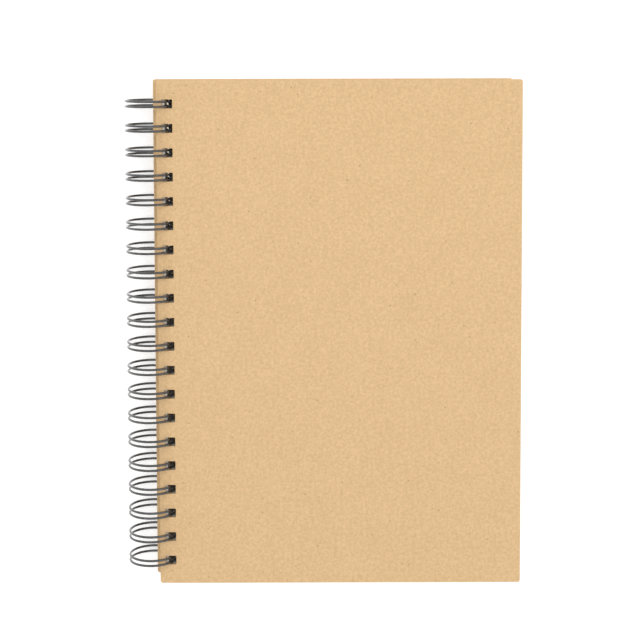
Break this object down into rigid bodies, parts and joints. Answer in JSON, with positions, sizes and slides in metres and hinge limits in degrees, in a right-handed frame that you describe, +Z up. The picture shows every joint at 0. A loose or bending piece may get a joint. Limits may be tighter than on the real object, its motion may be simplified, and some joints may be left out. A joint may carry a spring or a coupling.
{
  "type": "twin-loop hardcover sketchbook",
  "caption": "Portrait sketchbook: two plain kraft-board covers and punched drawing sheets that turn on a closed twin-loop wire along the left edge.",
  "frame": {"origin": "under the middle of the closed book, at the height of the lowest point of the binding wire", "axes": "+Z up through the front cover, +Y along the spine towards the head of the page, +X from the spine to the fore-edge"},
  "size_m": [0.2072, 0.266, 0.0254],
  "materials": {
    "kraft_board": "uncoated brown kraft board, matte, with fine fibres",
    "drawing_paper": "uncoated off-white drawing paper, matte, lightly toothed",
    "binding_wire": "black nylon-coated steel wire, smooth and glossy"
  },
  "bodies": {
    "back_cover": {"back_cover": "kraft_board"},
    "twin_loop_wire": {"twin_loop_wire": "binding_wire"},
    "sheet_01": {"sheet_01": "drawing_paper"},
    "sheet_02": {"sheet_02": "drawing_paper"},
    "sheet_03": {"sheet_03": "drawing_paper"},
    "sheet_04": {"sheet_04": "drawing_paper"},
    "sheet_05": {"sheet_05": "drawing_paper"},
    "sheet_06": {"sheet_06": "drawing_paper"},
    "sheet_07": {"sheet_07": "drawing_paper"},
    "sheet_08": {"sheet_08": "drawing_paper"},
    "sheet_09": {"sheet_09": "drawing_paper"},
    "sheet_10": {"sheet_10": "drawing_paper"},
    "sheet_11": {"sheet_11": "drawing_paper"},
    "sheet_12": {"sheet_12": "drawing_paper"},
    "sheet_13": {"sheet_13": "drawing_paper"},
    "sheet_14": {"sheet_14": "drawing_paper"},
    "sheet_15": {"sheet_15": "drawing_paper"},
    "sheet_16": {"sheet_16": "drawing_paper"},
    "sheet_17": {"sheet_17": "drawing_paper"},
    "sheet_18": {"sheet_18": "drawing_paper"},
    "sheet_19": {"sheet_19": "drawing_paper"},
    "sheet_20": {"sheet_20": "drawing_paper"},
    "sheet_21": {"sheet_21": "drawing_paper"},
    "sheet_22": {"sheet_22": "drawing_paper"},
    "sheet_23": {"sheet_23": "drawing_paper"},
    "sheet_24": {"sheet_24": "drawing_paper"},
    "sheet_25": {"sheet_25": "drawing_paper"},
    "sheet_26": {"sheet_26": "drawing_paper"},
    "sheet_27": {"sheet_27": "drawing_paper"},
    "sheet_28": {"sheet_28": "drawing_paper"},
    "sheet_29": {"sheet_29": "drawing_paper"},
    "sheet_30": {"sheet_30": "drawing_paper"},
    "sheet_31": {"sheet_31": "drawing_paper"},
    "sheet_32": {"sheet_32": "drawing_paper"},
    "sheet_33": {"sheet_33": "drawing_paper"},
    "sheet_34": {"sheet_34": "drawing_paper"},
    "sheet_35": {"sheet_35": "drawing_paper"},
    "sheet_36": {"sheet_36": "drawing_paper"},
    "sheet_37": {"sheet_37": "drawing_paper"},
    "sheet_38": {"sheet_38": "drawing_paper"},
    "sheet_39": {"sheet_39": "drawing_paper"},
    "sheet_40": {"sheet_40": "drawing_paper"},
    "front_cover": {"front_cover": "kraft_board"}
  },
  "joints": [
    {"name": "twin_loop_wire_turn", "type": "hinge", "parent": "back_cover", "child": "twin_loop_wire", "pos_m": [-0.0909, 0, 0.0127], "axis": [0, -1, 0], "range_deg": [0, 180]},
    {"name": "sheet_40_turn", "type": "hinge", "parent": "twin_loop_wire", "child": "sheet_40", "pos_m": [-0.0909, 0, 0.0127], "axis": [0, -1, 0], "range_deg": [0, 180]},
    {"name": "sheet_39_turn", "type": "hinge", "parent": "sheet_40", "child": "sheet_39", "pos_m": [-0.0909, 0, 0.0127], "axis": [0, -1, 0], "range_deg": [0, 180]},
    {"name": "sheet_38_turn", "type": "hinge", "parent": "sheet_39", "child": "sheet_38", "pos_m": [-0.0909, 0, 0.0127], "axis": [0, -1, 0], "range_deg": [0, 180]},
    {"name": "sheet_37_turn", "type": "hinge", "parent": "sheet_38", "child": "sheet_37", "pos_m": [-0.0909, 0, 0.0127], "axis": [0, -1, 0], "range_deg": [0, 180]},
    {"name": "sheet_36_turn", "type": "hinge", "parent": "sheet_37", "child": "sheet_36", "pos_m": [-0.0909, 0, 0.0127], "axis": [0, -1, 0], "range_deg": [0, 180]},
    {"name": "sheet_35_turn", "type": "hinge", "parent": "sheet_36", "child": "sheet_35", "pos_m": [-0.0909, 0, 0.0127], "axis": [0, -1, 0], "range_deg": [0, 180]},
    {"name": "sheet_34_turn", "type": "hinge", "parent": "sheet_35", "child": "sheet_34", "pos_m": [-0.0909, 0, 0.0127], "axis": [0, -1, 0], "range_deg": [0, 180]},
    {"name": "sheet_33_turn", "type": "hinge", "parent": "sheet_34", "child": "sheet_33", "pos_m": [-0.0909, 0, 0.0127], "axis": [0, -1, 0], "range_deg": [0, 180]},
    {"name": "sheet_32_turn", "type": "hinge", "parent": "sheet_33", "child": "sheet_32", "pos_m": [-0.0909, 0, 0.0127], "axis": [0, -1, 0], "range_deg": [0, 180]},
    {"name": "sheet_31_turn", "type": "hinge", "parent": "sheet_32", "child": "sheet_31", "pos_m": [-0.0909, 0, 0.0127], "axis": [0, -1, 0], "range_deg": [0, 180]},
    {"name": "sheet_30_turn", "type": "hinge", "parent": "sheet_31", "child": "sheet_30", "pos_m": [-0.0909, 0, 0.0127], "axis": [0, -1, 0], "range_deg": [0, 180]},
    {"name": "sheet_29_turn", "type": "hinge", "parent": "sheet_30", "child": "sheet_29", "pos_m": [-0.0909, 0, 0.0127], "axis": [0, -1, 0], "range_deg": [0, 180]},
    {"name": "sheet_28_turn", "type": "hinge", "parent": "sheet_29", "child": "sheet_28", "pos_m": [-0.0909, 0, 0.0127], "axis": [0, -1, 0], "range_deg": [0, 180]},
    {"name": "sheet_27_turn", "type": "hinge", "parent": "sheet_28", "child": "sheet_27", "pos_m": [-0.0909, 0, 0.0127], "axis": [0, -1, 0], "range_deg": [0, 180]},
    {"name": "sheet_26_turn", "type": "hinge", "parent": "sheet_27", "child": "sheet_26", "pos_m": [-0.0909, 0, 0.0127], "axis": [0, -1, 0], "range_deg": [0, 180]},
    {"name": "sheet_25_turn", "type": "hinge", "parent": "sheet_26", "child": "sheet_25", "pos_m": [-0.0909, 0, 0.0127], "axis": [0, -1, 0], "range_deg": [0, 180]},
    {"name": "sheet_24_turn", "type": "hinge", "parent": "sheet_25", "child": "sheet_24", "pos_m": [-0.0909, 0, 0.0127], "axis": [0, -1, 0], "range_deg": [0, 180]},
    {"name": "sheet_23_turn", "type": "hinge", "parent": "sheet_24", "child": "sheet_23", "pos_m": [-0.0909, 0, 0.0127], "axis": [0, -1, 0], "range_deg": [0, 180]},
    {"name": "sheet_22_turn", "type": "hinge", "parent": "sheet_23", "child": "sheet_22", "pos_m": [-0.0909, 0, 0.0127], "axis": [0, -1, 0], "range_deg": [0, 180]},
    {"name": "sheet_21_turn", "type": "hinge", "parent": "sheet_22", "child": "sheet_21", "pos_m": [-0.0909, 0, 0.0127], "axis": [0, -1, 0], "range_deg": [0, 180]},
    {"name": "sheet_20_turn", "type": "hinge", "parent": "sheet_21", "child": "sheet_20", "pos_m": [-0.0909, 0, 0.0127], "axis": [0, -1, 0], "range_deg": [0, 180]},
    {"name": "sheet_19_turn", "type": "hinge", "parent": "sheet_20", "child": "sheet_19", "pos_m": [-0.0909, 0, 0.0127], "axis": [0, -1, 0], "range_deg": [0, 180]},
    {"name": "sheet_18_turn", "type": "hinge", "parent": "sheet_19", "child": "sheet_18", "pos_m": [-0.0909, 0, 0.0127], "axis": [0, -1, 0], "range_deg": [0, 180]},
    {"name": "sheet_17_turn", "type": "hinge", "parent": "sheet_18", "child": "sheet_17", "pos_m": [-0.0909, 0, 0.0127], "axis": [0, -1, 0], "range_deg": [0, 180]},
    {"name": "sheet_16_turn", "type": "hinge", "parent": "sheet_17", "child": "sheet_16", "pos_m": [-0.0909, 0, 0.0127], "axis": [0, -1, 0], "range_deg": [0, 180]},
    {"name": "sheet_15_turn", "type": "hinge", "parent": "sheet_16", "child": "sheet_15", "pos_m": [-0.0909, 0, 0.0127], "axis": [0, -1, 0], "range_deg": [0, 180]},
    {"name": "sheet_14_turn", "type": "hinge", "parent": "sheet_15", "child": "sheet_14", "pos_m": [-0.0909, 0, 0.0127], "axis": [0, -1, 0], "range_deg": [0, 180]},
    {"name": "sheet_13_turn", "type": "hinge", "parent": "sheet_14", "child": "sheet_13", "pos_m": [-0.0909, 0, 0.0127], "axis": [0, -1, 0], "range_deg": [0, 180]},
    {"name": "sheet_12_turn", "type": "hinge", "parent": "sheet_13", "child": "sheet_12", "pos_m": [-0.0909, 0, 0.0127], "axis": [0, -1, 0], "range_deg": [0, 180]},
    {"name": "sheet_11_turn", "type": "hinge", "parent": "sheet_12", "child": "sheet_11", "pos_m": [-0.0909, 0, 0.0127], "axis": [0, -1, 0], "range_deg": [0, 180]},
    {"name": "sheet_10_turn", "type": "hinge", "parent": "sheet_11", "child": "sheet_10", "pos_m": [-0.0909, 0, 0.0127], "axis": [0, -1, 0], "range_deg": [0, 180]},
    {"name": "sheet_09_turn", "type": "hinge", "parent": "sheet_10", "child": "sheet_09", "pos_m": [-0.0909, 0, 0.0127], "axis": [0, -1, 0], "range_deg": [0, 180]},
    {"name": "sheet_08_turn", "type": "hinge", "parent": "sheet_09", "child": "sheet_08", "pos_m": [-0.0909, 0, 0.0127], "axis": [0, -1, 0], "range_deg": [0, 180]},
    {"name": "sheet_07_turn", "type": "hinge", "parent": "sheet_08", "child": "sheet_07", "pos_m": [-0.0909, 0, 0.0127], "axis": [0, -1, 0], "range_deg": [0, 180]},
    {"name": "sheet_06_turn", "type": "hinge", "parent": "sheet_07", "child": "sheet_06", "pos_m": [-0.0909, 0, 0.0127], "axis": [0, -1, 0], "range_deg": [0, 180]},
    {"name": "sheet_05_turn", "type": "hinge", "parent": "sheet_06", "child": "sheet_05", "pos_m": [-0.0909, 0, 0.0127], "axis": [0, -1, 0], "range_deg": [0, 180]},
    {"name": "sheet_04_turn", "type": "hinge", "parent": "sheet_05", "child": "sheet_04", "pos_m": [-0.0909, 0, 0.0127], "axis": [0, -1, 0], "range_deg": [0, 180]},
    {"name": "sheet_03_turn", "type": "hinge", "parent": "sheet_04", "child": "sheet_03", "pos_m": [-0.0909, 0, 0.0127], "axis": [0, -1, 0], "range_deg": [0, 180]},
    {"name": "sheet_02_turn", "type": "hinge", "parent": "sheet_03", "child": "sheet_02", "pos_m": [-0.0909, 0, 0.0127], "axis": [0, -1, 0], "range_deg": [0, 180]},
    {"name": "sheet_01_turn", "type": "hinge", "parent": "sheet_02", "child": "sheet_01", "pos_m": [-0.0909, 0, 0.0127], "axis": [0, -1, 0], "range_deg": [0, 180]},
    {"name": "front_cover_turn", "type": "hinge", "parent": "sheet_01", "child": "front_cover", "pos_m": [-0.0909, 0, 0.0127], "axis": [0, -1, 0], "range_deg": [0, 180]}
  ]
}
